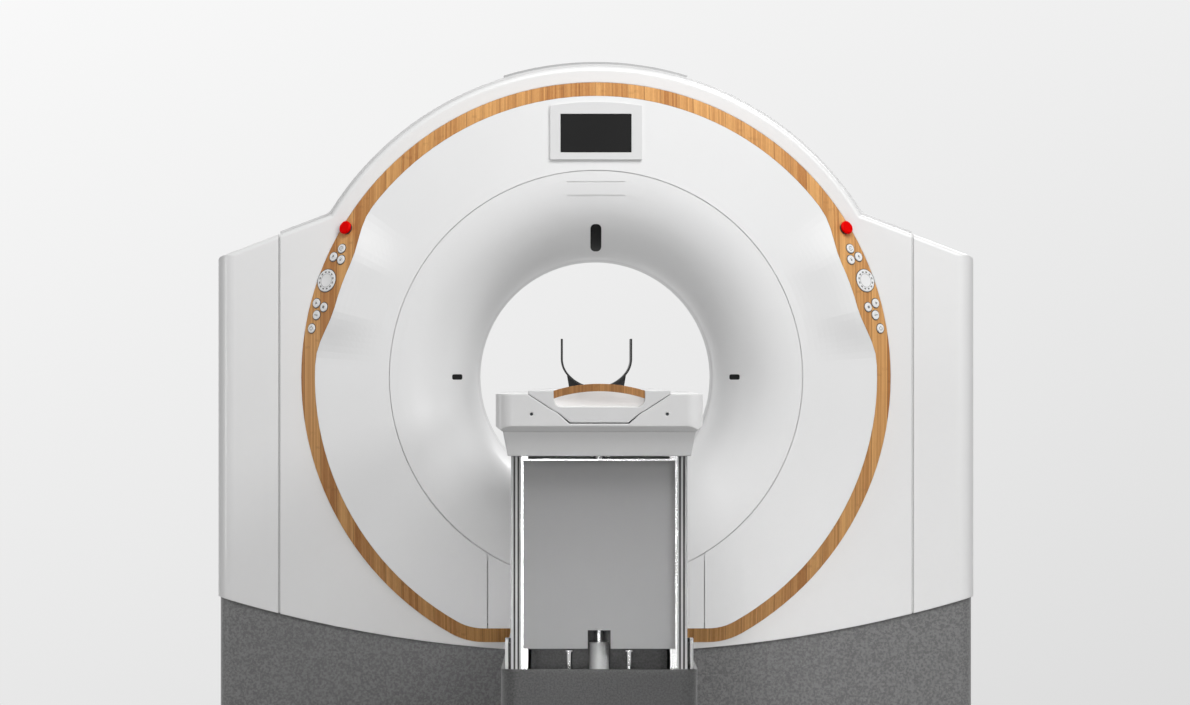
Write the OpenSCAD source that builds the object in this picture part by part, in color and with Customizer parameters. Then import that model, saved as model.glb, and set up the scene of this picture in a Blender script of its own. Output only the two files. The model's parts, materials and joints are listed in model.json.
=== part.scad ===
// Computed tomography scanner: gantry with a wood trim ring and a lifting patient table.
// Millimetres, +Z up, +Y into the bore, origin on the floor below the scan centre.

/* [Gantry] */
// width over the two side covers
gantry_w = 2200; // [2160:10:2300]
// depth from the front face to the rear face
gantry_d = 950; // [930:10:1040]
// height of the bore axis above the floor
axis_h = 1040; // [1030:5:1070]
// inside diameter of the patient bore
bore_d = 700; // [680:5:705]
// radius of the domed top
dome_r = 904; // [900:1:912]
// height of the outer shoulder corner above the axis
shoulder_z = 347; // [330:1:360]
// slope of the shoulders in degrees
shoulder_a = 20.8; // [19:0.1:22]
// thickness of the cover mouldings
skin = 6; // [5:0.5:7]
// rounding of the upright outer edges
side_round = 50; // [40:1:60]
// rounding of the dome and shoulder edges
edge_round = 14; // [10:1:18]
// distance of the side cover seams from the middle
seam_x = 920; // [912:1:930]
// width of the visible seams
seam_w = 5; // [3:0.5:7]
// radius of the curved lower edge of the covers
hem_r = 3800; // [3600:50:4200]
// depth of the lowest point of that edge below the axis
hem_low = 800; // [796:1:804]
// height of the roof hood over the front cover
roof_lift = 9; // [6:0.5:12]
// half angle of the roof vent in degrees
vent_a = 17; // [14:0.5:20]

/* [Wood ring and face] */
// outer radius of the wood ring
ring_r = 856; // [852:1:858]
// width of the wood ring seen from the front
ring_w = 41; // [38:1:43]
// angle of the wood surface to the front plane in degrees
ring_tilt = 40; // [36:1:42]
// thickness of the wood
wood_t = 12; // [10:0.5:13]
// depth of the flat lower side of the ring below the axis
ring_flat = 770; // [766:1:772]
// corner radius of the ring at its flat side
ring_corner = 200; // [180:5:220]
// extra width of the wood at the control panels
panel_w = 32; // [30:1:34]
// radius of the seam between the face and the funnel
mouth_r = 599; // [590:0.5:610]
// half width of the service panel below the bore
service_x = 314; // [300:1:320]

/* [Display and windows] */
// half width of the display bezel
bezel_x = 133; // [125:1:140]
// height of the lower bezel edge above the axis
bezel_z = 630; // [628:1:640]
// half width of the screen
screen_x = 103; // [95:1:108]
// height of the screen
screen_h = 112; // [100:1:116]
// half width of the upper laser window
laser_x = 16; // [12:1:20]

/* [Controls] */
// diameter of the keys
key_d = 26; // [24:0.5:26.5]
// travel of the keys
key_travel = 2; // [1:0.1:2.5]
// diameter of the direction pads
pad_d = 66; // [60:1:66]
// diameter of the emergency stop heads
stop_d = 39; // [32:1:40]
// travel of the emergency stops
stop_travel = 4; // [2:0.5:4.5]

/* [Rotor] */
// outer radius of the rotor drum
rotor_r = 810; // [790:5:815]
// radius of the running surface of the main bearing
race_r = 440; // [430:1:445]
// diameter of the tube housing
tube_d = 190; // [170:5:200]
// half angle of the detector arc in degrees
fan_a = 27; // [24:1:30]
// radius of the motor pulley
pulley_r = 60; // [50:1:65]

/* [Table] */
// distance of the near table end from the scan plane
table_near = 2620; // [2600:10:2700]
// distance of the far table end from the scan plane
table_far = 590; // [560:5:620]
// half width of the table head
head_x = 257; // [252:1:265]
// half width of the cradle
cradle_x = 176; // [170:1:180]
// height of the cradle top below the axis
cradle_z = 33.7; // [30:0.1:36]
// half width of the grip
grip_x = 113; // [100:1:116]
// length of the head holder
holder_l = 260; // [220:5:290]
// radius of the head holder
holder_r = 101; // [92:1:106]
// half width of the table base
base_x = 244; // [240:1:260]
// height of the table base
base_h = 315; // [310:1:322]
// downward travel of the table
lift_travel = 280; // [265:1:282]
// radius of the floor anchor holes
anchor_r = 9; // [7:0.5:10]

/* [Hidden] */
$fn = 96;
yf = -gantry_d / 2 + 5;
yr = gantry_d / 2 + 5;
hw = gantry_w / 2;
top_z = axis_h + dome_r + 150;
bore_r = bore_d / 2;
cap_d = 70;
shoulder_c = hw * sin(shoulder_a) + shoulder_z * cos(shoulder_a);
ring_slope = tan(ring_tilt);
ring_in = ring_r - ring_w;
face_y = yf - ring_w * ring_slope;
corner_x = sqrt(pow(ring_r - ring_corner, 2) - pow(ring_flat - ring_corner, 2));
corner_a = -atan((ring_flat - ring_corner) / corner_x);
bell_r = mouth_r - bore_r;
bell_y = face_y + bell_r;
rear_bell = 200;
// radius and angle of each key, pad and stop on the wood
key_at = [
  [825.4, 26.8], [837.2, 24.6], [812.7, 24.7], [838.4, 14.8],
  [813.8, 14.4], [829.8, 12.5], [836.5, 9.7]
];
pad_at = [829.5, 19.7];
stop_at = [840, 30.8];
plinth_in = skin + 0.5;
drum_y = 70;
stator_y = 160;
motor_x = 700;
motor_z = -650;
near_y = -table_near;
far_y = -table_far;
rail_in = 195;
rail_w = 24;
rail_d = 60;
rail_rows = [near_y + 50, near_y + 1060];
skirt_x = rail_in - 6;
head_low = axis_h - 196;
deck_z = axis_h - 140;
frame_z = lift_travel + 20;
sleeve_z = base_h + 74;
grip_rise = 17;
grip_r = (grip_x * grip_x + grip_rise * grip_rise) / (2 * grip_rise);
grip_t = 18.5;
base_near = near_y + 20;
base_far = face_y - 0.3;

// flat shape in the front plane, given thickness along Y
module slab(y0, y1) {
  translate([0, y1, axis_h]) rotate([90, 0, 0]) linear_extrude(height = y1 - y0) children();
}

// profile of radius and Y turned about the bore axis
module turned() {
  translate([0, 0, axis_h]) rotate([-90, 0, 0]) rotate_extrude() children();
}

// the same over a part of the circle, angles counted from +X towards +Z
module turned_part(a0, a1) {
  translate([0, 0, axis_h]) rotate([-90, 0, 0]) rotate([0, 0, -a1])
    rotate_extrude(angle = a1 - a0) children();
}

// box between two corners
module span(a, b) {
  translate(a) cube([b[0] - a[0], b[1] - a[1], b[2] - a[2]]);
}

// the child and its mirror image in X
module both_sides() {
  children();
  mirror([1, 0, 0]) children();
}

// rounded rectangle from y0 to y1
module plan(x, y0, y1, r) {
  translate([-x + r, y0]) square([2 * (x - r), y1 - y0]);
  translate([-x, y0 + r]) square([2 * x, y1 - y0 - 2 * r]);
  for (sx = [-1, 1]) {
    translate([sx * (x - r), y0 + r]) circle(r);
    translate([sx * (x - r), y1 - r]) circle(r);
  }
}

// rounded profile of the dome disc
module dome_profile(r, y0, y1, e) {
  translate([0, y0]) square([r - e, y1 - y0]);
  translate([0, y0 + e]) square([r, y1 - y0 - 2 * e]);
  translate([r - e, y0 + e]) circle(e);
  translate([r - e, y1 - e]) circle(e);
}

// area under the two shoulders, inset by i
module roof_area(i) {
  x = hw - i;
  c = shoulder_c - i;
  e = edge_round;
  cx = x - e;
  cz = (c - e - cx * sin(shoulder_a)) / cos(shoulder_a);
  tx = cx + e * sin(shoulder_a);
  tz = cz + e * cos(shoulder_a);
  polygon([
    [-x, -axis_h - 100],
    [x, -axis_h - 100],
    [x, cz],
    [cx, cz],
    [tx, tz],
    [0, c / cos(shoulder_a)],
    [-tx, tz],
    [-cx, cz],
    [-x, cz]
  ]);
  both_sides() translate([cx, cz]) circle(e);
}

// concave fillet between the dome and a shoulder, inset by i
module dome_fillet(i) {
  f = 50 + i;
  r = dome_r - i;
  c = shoulder_c - i;
  s = sqrt(pow(r + f, 2) - pow(c + f, 2));
  px = (c + f) * sin(shoulder_a) + s * cos(shoulder_a);
  pz = (c + f) * cos(shoulder_a) - s * sin(shoulder_a);
  both_sides() difference() {
    polygon([
      [px * r / (r + f), pz * r / (r + f)],
      [px - f * sin(shoulder_a), pz - f * cos(shoulder_a)],
      [px * 0.72, pz * 0.72]
    ]);
    translate([px, pz]) circle(f + 0.3);
  }
}

// area above the curved lower edge
module above_hem(i) {
  translate([0, hem_r - hem_low]) circle(hem_r - i, $fn = 400);
}

// cutter that rounds one shoulder edge
module shoulder_cut(i, front) {
  e = edge_round - min(i, edge_round - 2);
  c = shoulder_c - i;
  y = front ? yf + i : yr - i;
  d = front ? 1 : -1;
  translate([0, 0, axis_h]) rotate([0, shoulder_a - 90, 0]) translate([0, 0, -1500])
    linear_extrude(height = 3000) difference() {
      translate([c - e, front ? y - 1 : y - e]) square([e + 1, e + 1]);
      translate([c - e, y + d * e]) circle(e);
    }
}

// solid form of the gantry, inset by i
module gantry_form(i) {
  e = edge_round - min(i, edge_round - 2);
  turned() dome_profile(dome_r - i, yf + i, yr - i, e);
  difference() {
    intersection() {
      translate([0, 0, -10 - i]) linear_extrude(height = top_z) plan(hw - i, yf + i, yr - i, side_round - i);
      slab(yf - 1, yr + 1) roof_area(i);
    }
    both_sides() {
      shoulder_cut(i, true);
      shoulder_cut(i, false);
    }
  }
  slab(yf + i + edge_round, yr - i - edge_round) dome_fillet(i);
}

module gantry_shell() {
  intersection() {
    difference() {
      gantry_form(0);
      gantry_form(skin);
    }
    slab(yf - 1, yr + 1) above_hem(0);
  }
}

function ease(t) = t <= 0 ? 0 : t >= 1 ? 1 : t * t * (3 - 2 * t);
function swell(a) = ease((a - 3) / 12) * ease((37 - a) / 12);
function cone_y(r) = yf - (ring_r - r) * ring_slope;

// stations round the rounded D: point, inward direction, panel width
arc_n = 120;
arc_step = (180 - 2 * corner_a) / arc_n;
turn_n = 6;
turn_step = (90 + corner_a) / turn_n;
stations = [
  for (n = [0:arc_n])
    let (a = corner_a + n * arc_step, w = panel_w * swell(min(a, 180 - a)))
      [ring_r * [cos(a), sin(a)], -[cos(a), sin(a)], w],
  for (n = [1:turn_n])
    let (a = 180 - corner_a + n * turn_step)
      [[-corner_x, ring_corner - ring_flat] + ring_corner * [cos(a), sin(a)], -[cos(a), sin(a)], 0],
  for (n = [0:turn_n - 1])
    let (a = n * turn_step - 90)
      [[corner_x, ring_corner - ring_flat] + ring_corner * [cos(a), sin(a)], -[cos(a), sin(a)], 0]
];

// outline of the rounded D, moved inwards by d, with or without the control panels
module d_shape(d, panels = 0) {
  polygon([for (s = stations) s[0] + s[1] * (d + panels * s[2])]);
}

// wood strip on a cone that faces away from the bore axis, widened at the control panels
module wood_strip() {
  ty = wood_t / cos(ring_tilt);
  count = len(stations);
  rows = [
    for (s = stations)
      let (w = ring_w + s[2], inner = s[0] + s[1] * w, y = yf - w * ring_slope) [
        [s[0][0], yf, axis_h + s[0][1]],
        [inner[0], y, axis_h + inner[1]],
        [inner[0], y + ty, axis_h + inner[1]],
        [s[0][0], yf + ty, axis_h + s[0][1]]
      ]
  ];
  polyhedron(
    points = [for (row = rows) each row],
    faces = [
      for (n = [0:count - 1], k = [0:3])
        let (m = (n + 1) % count, j = (k + 1) % 4) each [
          [n * 4 + k, m * 4 + k, m * 4 + j],
          [n * 4 + k, m * 4 + j, n * 4 + j]
        ]
    ]
  );
}

// place on the wood surface, local +Z out of it
module on_wood(at) {
  translate([at[0] * cos(at[1]), cone_y(at[0]), axis_h + at[0] * sin(at[1])])
    rotate([0, -at[1], 0]) rotate([0, 0, ring_tilt]) rotate([90, 0, 0]) children();
}

// clear holes for all controls of one side
module control_wells(grow, depth) {
  for (at = key_at) on_wood(at) translate([0, 0, -depth]) cylinder(h = depth + 30, r = key_d / 2 + grow);
  on_wood(pad_at) translate([0, 0, -depth]) cylinder(h = depth + 30, r = pad_d / 2 + grow);
  on_wood(stop_at) translate([0, 0, -depth]) cylinder(h = depth + 30, r = stop_d / 3 + grow);
}

module key(n) {
  on_wood(key_at[n]) {
    translate([0, 0, -8]) cylinder(h = key_travel + 8.2, r = key_d / 2);
    translate([0, 0, key_travel + 0.2]) cylinder(h = 1, r1 = key_d / 2, r2 = key_d / 2 - 1.4);
  }
}

module pad() {
  on_wood(pad_at) difference() {
    union() {
      translate([0, 0, -8]) cylinder(h = 9.4, r = pad_d / 2);
      translate([0, 0, 1.4]) cylinder(h = 1, r1 = pad_d / 2, r2 = pad_d / 2 - 1.6);
    }
    translate([0, 0, 201.5]) sphere(r = 200);
  }
}

module stop_button() {
  on_wood(stop_at) {
    translate([0, 0, -12]) cylinder(h = stop_travel + 15, r = stop_d / 3);
    translate([0, 0, stop_travel + 2]) cylinder(h = 3, r1 = stop_d / 2 - 2.5, r2 = stop_d / 2);
    translate([0, 0, stop_travel + 5]) cylinder(h = 4, r = stop_d / 2);
    translate([0, 0, stop_travel + 9]) cylinder(h = 3, r1 = stop_d / 2, r2 = stop_d / 2 - 3.5);
  }
}

// gantry covers

// strip behind a seam from y0 to y1, reaching behind the side cover, with a tongue that fills the seam
module seam_strip(y0, y1, tongue) {
  half = seam_w / 2;
  intersection() {
    span([seam_x - 20, y0, 0], [seam_x + 25, y1, top_z]);
    slab(yf, yr) intersection() {
      above_hem(12);
      roof_area(skin + 12);
    }
  }
  intersection() {
    span([seam_x - half - 6, tongue[0], 0], [seam_x + half - 0.3, tongue[1], top_z]);
    slab(yf, yr) intersection() {
      above_hem(2);
      roof_area(3);
    }
  }
}

module front_cover() {
  color("white") union() {
    difference() {
      intersection() {
        gantry_shell();
        span([-seam_x + seam_w / 2, yf - 1, 0], [seam_x - seam_w / 2, yf + cap_d, top_z]);
      }
      slab(yf - 1, yf + skin + 1) d_shape(-0.2);
    }
    both_sides() seam_strip(yf + skin, yf + skin + 4, [yf + 3, yf + skin + 0.3]);
  }
}

module face_area() {
  difference() {
    d_shape(ring_w + 0.4, 1);
    circle(mouth_r + 1);
    translate([-service_x - 1, -1000]) square([2 * service_x + 2, 700]);
  }
}

// rise of the face beside a control panel at radius r and angle a
function rise_height(r, a) =
  let (edge = ring_in - panel_w * swell(a), start = mouth_r + 10)
    panel_w * ring_slope * swell(a) * ease((r - start) / (edge - start));

// swelling that lifts the face smoothly to the inner edge of a control panel
module panel_rise() {
  an = 24;
  rn = 14;
  grid = [
    for (i = [0:an], j = [0:rn])
      let (a = 2.5 + i * 35 / an, r = mouth_r + 8 + j * (832 - mouth_r - 8) / rn) each [
        [r * cos(a), face_y + 0.03 - rise_height(r, a), axis_h + r * sin(a)],
        [r * cos(a), face_y + skin - 1, axis_h + r * sin(a)]
      ]
  ];
  function at(i, j, k) = (i * (rn + 1) + j) * 2 + k;
  polyhedron(points = grid, faces = [
    for (i = [0:an - 1], j = [0:rn - 1]) each [
      [at(i, j, 0), at(i + 1, j, 0), at(i + 1, j + 1, 0)],
      [at(i, j, 0), at(i + 1, j + 1, 0), at(i, j + 1, 0)],
      [at(i, j, 1), at(i + 1, j + 1, 1), at(i + 1, j, 1)],
      [at(i, j, 1), at(i, j + 1, 1), at(i + 1, j + 1, 1)]
    ],
    for (i = [0:an - 1]) each [
      [at(i + 1, 0, 0), at(i, 0, 0), at(i, 0, 1), at(i + 1, 0, 1)],
      [at(i, rn, 0), at(i + 1, rn, 0), at(i + 1, rn, 1), at(i, rn, 1)]
    ],
    for (j = [0:rn - 1]) each [
      [at(0, j, 0), at(0, j + 1, 0), at(0, j + 1, 1), at(0, j, 1)],
      [at(an, j + 1, 0), at(an, j, 0), at(an, j, 1), at(an, j + 1, 1)]
    ]
  ]);
}

module front_face() {
  color("white") union() {
    slab(face_y, face_y + skin) face_area();
    intersection() {
      slab(face_y - panel_w * ring_slope - 10, face_y + skin) face_area();
      both_sides() panel_rise();
    }
  }
}

module service_panel() {
  low = ring_flat - ring_w - 0.4;
  color("white") slab(face_y, face_y + skin) difference() {
    translate([-service_x + 1, -low]) square([2 * service_x - 2, low - 300]);
    circle(mouth_r + 1);
  }
}

module wood_ring() {
  color("burlywood") difference() {
    wood_strip();
    both_sides() control_wells(0.3, 40);
  }
}

// turned wall of the bell mouth between two depths below its surface
module bell_wall(t0, t1) {
  difference() {
    intersection() {
      translate([mouth_r, bell_y]) circle(bell_r - t0);
      translate([bore_r - 10, face_y - 10]) square([bell_r + 10, bell_r + 10]);
    }
    translate([mouth_r, bell_y]) circle(bell_r - t1);
  }
}

// prisms through the funnel where the laser windows sit
module laser_cuts(g) {
  slab(yf - 20, bell_y) plan(laser_x + g, 368 - g, 445 + g, laser_x - 3 + g);
  both_sides() slab(yf - 20, bell_y) translate([404.5, 0]) plan(14.5 + g, -8 - g, 8 + g, 5 + g);
}

module front_funnel() {
  color("white") difference() {
    union() {
      turned() {
        intersection() {
          bell_wall(0, skin);
          translate([0, -1000]) square([mouth_r - 1, 3000]);
        }
        translate([bore_r, bell_y - 1]) square([skin, -39 - bell_y]);
        translate([mouth_r - 12, face_y + skin - 0.5]) square([11, 5]);
        translate([mouth_r - 2, face_y + skin]) square([22, 4.5]);
      }
    }
    laser_cuts(0);
    intersection() {
      turned() bell_wall(-2, 2.5);
      for (z = [525, 564]) span([-84, yf - 60, axis_h + z], [84, bell_y, axis_h + z + 3]);
    }
  }
}

module laser_windows() {
  color("black") intersection() {
    turned() bell_wall(1, skin);
    laser_cuts(-0.3);
  }
}

module scan_window() {
  color("lightgray") turned() translate([bore_r, -40]) square([4, 80]);
}

module rear_funnel() {
  color("white") turned() {
    translate([bore_r, 40]) square([skin, yr - rear_bell - 39]);
    difference() {
      translate([bore_r, yr - rear_bell]) square([rear_bell, rear_bell]);
      translate([bore_r + rear_bell, yr - rear_bell]) circle(rear_bell - skin);
      difference() {
        translate([bore_r - 1, yr - rear_bell]) square([rear_bell + 1, rear_bell + 1]);
        translate([bore_r + rear_bell, yr - rear_bell]) circle(rear_bell);
      }
    }
    translate([bore_r + rear_bell - 8, yr - skin - 4.5]) square([30, 4.5]);
    translate([bore_r + rear_bell - 8, yr - skin - 0.5]) square([7, 0.6]);
  }
}

module rear_cover() {
  color("gainsboro") union() {
    difference() {
      intersection() {
        gantry_shell();
        span([-seam_x + seam_w / 2, yr - cap_d, 0], [seam_x - seam_w / 2, yr + 1, top_z]);
      }
      slab(yr - skin - 1, yr + 1) circle(bore_r + rear_bell + 1);
    }
    both_sides() seam_strip(yr - skin - 4, yr - skin, [yr - skin - 0.3, yr - 3]);
  }
}

module left_side_cover() {
  color("white") intersection() {
    gantry_shell();
    span([-hw - 1, yf - 1, 0], [-seam_x - seam_w / 2, yr + 1, top_z]);
  }
}

module right_side_cover() {
  mirror([1, 0, 0]) left_side_cover();
}

// solid under the roof, inset by i
module roof_block(i, y0, y1) {
  slab(y0, y1) circle(dome_r - i);
  slab(y0, y1) roof_area(i);
  slab(y0, y1) dome_fillet(i);
}

module roof_cover() {
  y0 = yf + cap_d - 12;
  y1 = yr - cap_d + 12;
  color("gainsboro") intersection() {
    difference() {
      roof_block(-roof_lift, y0, y1);
      roof_block(-0.5, y0 - 1, y1 + 1);
    }
    span([-seam_x, yf, axis_h + 100], [seam_x, yr, top_z]);
  }
}

module top_vent() {
  r0 = dome_r + roof_lift;
  color("silver") difference() {
    turned_part(90 - vent_a, 90 + vent_a) polygon([
      [r0, -170],
      [r0 + 16, -170],
      [r0 + 22, -158],
      [r0 + 22, 288],
      [r0 + 16, 300],
      [r0, 300]
    ]);
    for (y = [-120:40:240])
      turned_part(92.5 - vent_a, 87.5 + vent_a) translate([r0 + 8, y]) square([30, 16]);
    both_sides() translate([0, 0, axis_h]) rotate([0, vent_a, 0])
      translate([0, -200, r0]) rotate([0, 20, 0]) cube([60, 600, 60]);
  }
}

module plinth() {
  color("dimgray") intersection() {
    linear_extrude(height = axis_h) difference() {
      plan(hw - plinth_in, yf + plinth_in, yr - plinth_in, side_round - plinth_in);
      plan(hw - plinth_in - 6, yf + plinth_in + 6, yr - plinth_in - 6, side_round - plinth_in - 6);
    }
    slab(yf, yr) difference() {
      translate([-hw, -axis_h]) square([gantry_w, axis_h]);
      above_hem(8);
    }
  }
}

module display_bezel() {
  z0 = bezel_z + 20.5;
  color("whitesmoke") slab(face_y - 9, face_y) difference() {
    intersection() {
      circle(ring_in - 18);
      translate([-bezel_x, bezel_z]) square([2 * bezel_x, 300]);
    }
    translate([-screen_x, z0]) square([2 * screen_x, screen_h]);
  }
}

module display_screen() {
  color("black") slab(face_y - 7, face_y)
    translate([-screen_x + 0.3, bezel_z + 20.8]) square([2 * screen_x - 0.6, screen_h - 0.6]);
}

// stationary frame and drive

module base_frame() {
  plate_x = hw - plinth_in - 6.5;
  color("slategray") difference() {
    union() {
      linear_extrude(height = 20)
        plan(plate_x, yf + plinth_in + 6.5, yr - plinth_in - 6.5, side_round - plinth_in - 6.5);
      slab(stator_y, stator_y + 40) {
        circle(700);
        polygon([[-880, 20 - axis_h], [880, 20 - axis_h], [620, 325], [-620, 325]]);
      }
      both_sides() translate([560, stator_y, 20]) rotate([90, 0, 90]) linear_extrude(height = 30)
        polygon([[40, 0], [250, 0], [40, 420]]);
    }
    slab(stator_y - 1, stator_y + 41) circle(race_r + 35);
    slab(stator_y - 1, stator_y + 41) translate([motor_x, motor_z]) circle(30);
    both_sides() for (y = [-360, 370]) translate([800, y, -1]) cylinder(h = 30, r = anchor_r);
  }
}

module main_bearing() {
  color("silver") turned() translate([race_r, stator_y - 30]) square([34.8, 70]);
}

module drive_motor() {
  color("dimgray") translate([motor_x, stator_y + 40, axis_h + motor_z]) rotate([-90, 0, 0]) difference() {
    union() {
      cylinder(h = 14, r = 95);
      translate([0, 0, 14]) cylinder(h = 170, r = 75);
    }
    translate([0, 0, -1]) cylinder(h = 101, r = 20.05);
  }
}

module motor_pulley() {
  color("silver") translate([motor_x, 0, axis_h + motor_z]) rotate([-90, 0, 0]) {
    translate([0, 0, drum_y]) cylinder(h = 30, r = pulley_r);
    translate([0, 0, drum_y + 1]) cylinder(h = stator_y + 130 - drum_y, r = 20);
  }
}

// loop round the rotor and the pulley, g outside their rims
module belt_loop(g, e) {
  d = sqrt(motor_x * motor_x + motor_z * motor_z);
  b = atan2(motor_z, motor_x);
  f = acos((rotor_r - pulley_r) / d);
  r = rotor_r + g;
  p = pulley_r + g;
  slab(drum_y + 4 - e, drum_y + 26 + e) circle(r);
  slab(drum_y + 4 - e, drum_y + 26 + e) translate([motor_x, motor_z]) circle(p);
  slab(drum_y + 4 - e, drum_y + 26 + e) polygon([
    0.9998 * r * [cos(b + f), sin(b + f)],
    [motor_x, motor_z] + 0.999 * p * [cos(b + f), sin(b + f)],
    [motor_x, motor_z] + 0.999 * p * [cos(b - f), sin(b - f)],
    0.9998 * r * [cos(b - f), sin(b - f)]
  ]);
}

module drive_belt() {
  color("black") difference() {
    belt_loop(5.4, 0);
    belt_loop(0.4, 2);
  }
}

module brush_block() {
  color("darkslategray") translate([0, 0, axis_h]) rotate([0, -125, 0])
    span([590, drum_y + 45.4, -60], [690, stator_y, 60]);
}

// rotating parts

module rotor_drum() {
  color("lightsteelblue") turned() {
    translate([385, drum_y]) square([rotor_r - 385, 30]);
    translate([385, drum_y]) square([race_r - 0.06 - 385, stator_y + 36 - drum_y]);
    translate([rotor_r - 20, drum_y - 60]) square([15, 65]);
  }
}

module slip_ring() {
  color("goldenrod") turned() translate([600, drum_y + 30]) square([80, 15]);
}

module xray_tube() {
  color("silver") translate([0, 0, axis_h + 630]) rotate([-90, 0, 0]) {
    translate([0, 0, drum_y - 230]) cylinder(h = 230, r = tube_d / 2);
    translate([0, 0, drum_y - 180]) cylinder(h = 20, r = tube_d / 2 + 6);
    translate([0, 0, drum_y - 60]) cylinder(h = 20, r = tube_d / 2 + 6);
  }
}

module collimator() {
  color("gray") slab(-45, drum_y) polygon([
    [-70, 628 - tube_d / 2 - 4],
    [70, 628 - tube_d / 2 - 4],
    [120, 432],
    [-120, 432]
  ]);
}

module detector_arc() {
  color("darkslategray") turned_part(270 - fan_a, 270 + fan_a)
    translate([500, -70]) square([90, drum_y + 69.9]);
}

module hv_generators() {
  color("steelblue") both_sides() span([440, -110, axis_h - 160], [715, drum_y, axis_h + 180]);
}

// patient table

// section of the cradle, grown by g
module cradle_area(g) {
  polygon([
    [-cradle_x - g, g > 0 ? 0 : -cradle_z],
    [-cradle_x - g, -cradle_z - 8],
    [-116 - g, -81],
    [-101 - g, -89],
    [-71.5 - g, -113 - g],
    [71.5 + g, -113 - g],
    [101 + g, -89],
    [116 + g, -81],
    [cradle_x + g, -cradle_z - 8],
    [cradle_x + g, g > 0 ? 0 : -cradle_z]
  ]);
}

module table_head() {
  color("white") difference() {
    intersection() {
      slab(near_y, far_y) difference() {
        polygon([
          [-head_x, -42],
          [-head_x, -122],
          [-head_x + 16, -134.5],
          [-head_x + 18, -134.5],
          [-head_x + 30, -196],
          [head_x - 30, -196],
          [head_x - 18, -134.5],
          [head_x - 16, -134.5],
          [head_x, -122],
          [head_x, -42]
        ]);
        cradle_area(2.5);
      }
      linear_extrude(height = 1300) plan(head_x, near_y, far_y, 40);
    }
    translate([-head_x - 1, near_y, axis_h]) rotate([90, 0, 90]) linear_extrude(height = 2 * head_x + 2)
      polygon([[-1, -122], [0, -122], [14, -134.5], [16, -134.5], [28, -197], [-1, -197]]);
    both_sides() translate([168, near_y - 1, axis_h - 92]) rotate([-90, 0, 0]) cylinder(h = 5, r = 4);
    span([-220, near_y + 35, head_low - 1], [220, far_y - 60, deck_z]);
    span([-62, far_y - 50, axis_h - 160], [62, far_y - 12, axis_h - 100]);
    translate([-72, far_y - 31, axis_h - 128.7]) rotate([0, 90, 0]) cylinder(h = 144, r = 5.05);
  }
}

module cradle() {
  color("whitesmoke") difference() {
    slab(near_y, far_y - 10) cradle_area(0);
    slab(near_y + 130, far_y - holder_l - 40) translate([0, 860]) circle(905, $fn = 400);
    slab(near_y - 1, near_y + 70) {
      translate([-grip_x, -54]) square([2 * grip_x, 60]);
      translate([-grip_x + 20, -74]) square([2 * grip_x - 40, 60]);
      both_sides() translate([grip_x - 20, -54]) circle(20);
    }
  }
}

module wood_grip() {
  color("sienna") slab(near_y + 1, near_y + 25) intersection() {
    translate([0, grip_rise - cradle_z - grip_r]) difference() {
      circle(grip_r);
      circle(grip_r - grip_t);
    }
    translate([-grip_x, -80]) square([2 * grip_x, 100]);
  }
}

// trough section of the head holder, t inside its outer surface, open to the height top
module holder_area(t, top) {
  a = holder_r;
  b = 0.84 * a;
  r = 0.69 * a;
  big = (pow(a - r, 2) + b * b - r * r) / (2 * (b - r));
  lean = atan2(big - b, a - r);
  side = [for (k = [0:10]) let (w = lean * k / 10) [a - r + (r - t) * cos(w), (t - r) * sin(w)]];
  turn = [for (k = [1:20]) lean + (90 - lean) * k / 20];
  low = [for (w = turn) [(big - t) * cos(w), big - b + (t - big) * sin(w)]];
  half = concat([[a - t, top]], side, low);
  other = [for (k = [len(half) - 2:-1:0]) [-half[k][0], half[k][1]]];
  translate([0, b - cradle_z + 0.3]) polygon(concat(half, other));
}

// wedge foot under one side of the trough
module holder_foot() {
  difference() {
    polygon([[84, 8], [77, -cradle_z], [42, -cradle_z], [58, 4]]);
    holder_area(2, 200);
  }
}

module head_holder() {
  y0 = far_y - 10 - holder_l;
  rise = 108 - (0.84 * holder_r - cradle_z + 0.3);
  color("dimgray") {
    slab(y0, far_y - 10) difference() {
      holder_area(0, rise);
      holder_area(5.5, rise + 50);
    }
    both_sides() slab(y0 + 20, y0 + 50) holder_foot();
    both_sides() slab(far_y - 60, far_y - 30) holder_foot();
  }
}

module cradle_roller() {
  color("gray") translate([0, far_y - 31, axis_h - 128.7]) rotate([0, 90, 0]) {
    translate([0, 0, -60]) cylinder(h = 120, r = 15.4);
    translate([0, 0, -70]) cylinder(h = 140, r = 5);
  }
}

// section of one lift rail with its grooves
module rail_area() {
  difference() {
    translate([rail_in, 0]) square([rail_w, rail_d]);
    for (x = [3.5, 13.5]) translate([rail_in + x, -1]) square([4.5, 9]);
    for (x = [3.5, 13.5]) translate([rail_in + x, rail_d - 8]) square([4.5, 9]);
    for (y = [14, 28, 42]) translate([rail_in + rail_w - 4, y]) square([5, 4]);
  }
}

module lift_rails() {
  color("silver") both_sides() for (y = rail_rows)
    translate([0, y, frame_z]) linear_extrude(height = deck_z - frame_z) rail_area();
}

// open channels that guide the rails
module rail_sleeves() {
  x0 = rail_in + rail_w;
  color("gainsboro") both_sides() for (y = rail_rows) {
    span([x0 + 7, y + 2, 12], [x0 + 15, y + rail_d + 10, sleeve_z]);
    span([rail_in + 2, y + rail_d + 2, 12], [x0 + 15, y + rail_d + 10, sleeve_z]);
    span([x0 + 0.5, y + 16, sleeve_z - 60], [x0 + 8, y + 26, sleeve_z - 10]);
  }
}

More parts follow.
